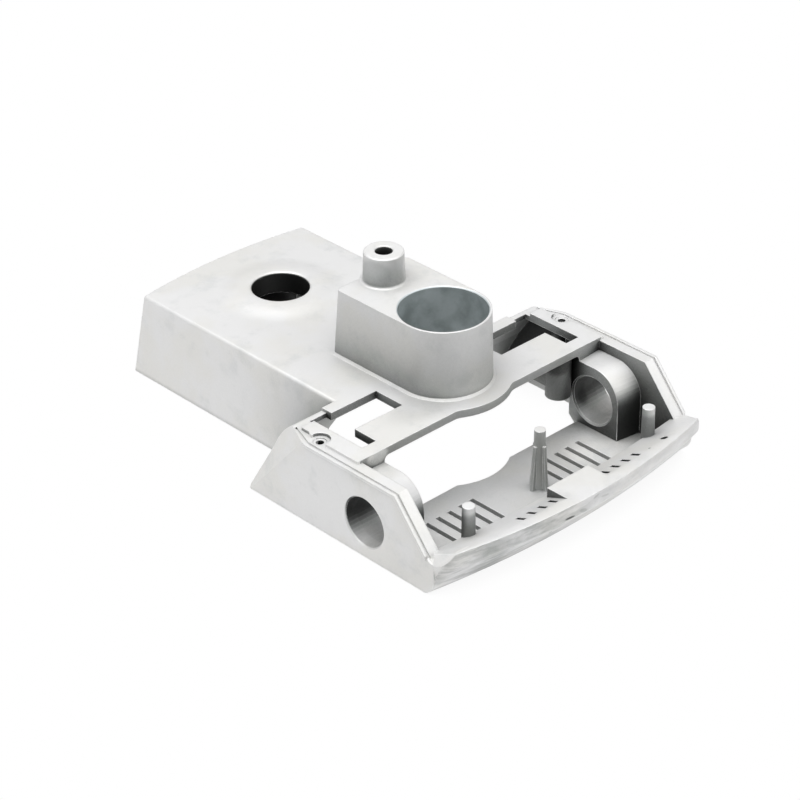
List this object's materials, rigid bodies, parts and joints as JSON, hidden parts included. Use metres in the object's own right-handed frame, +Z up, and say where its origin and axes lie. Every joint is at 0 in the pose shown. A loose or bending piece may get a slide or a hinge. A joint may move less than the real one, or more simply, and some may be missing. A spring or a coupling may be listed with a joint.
{
  "type": "die cast housing",
  "caption": "Die cast aluminium housing: a hollow hood with a round neck, a bored tower with a small boss, and side cheeks with cross bores over a vented floor and a curved lip.",
  "frame": {"origin": "centre of the casting's overall outline, on the plane it stands on", "axes": "+Z up along the tower's bore, +Y towards the hood, +X to the right seen from the front lip"},
  "size_m": [0.1662, 0.262, 0.0927],
  "materials": {
    "casting": "fine matt as-cast skin, light grey, burnished on proud edges"
  },
  "bodies": {
    "root": {"housing": "casting"}
  },
  "joints": []
}
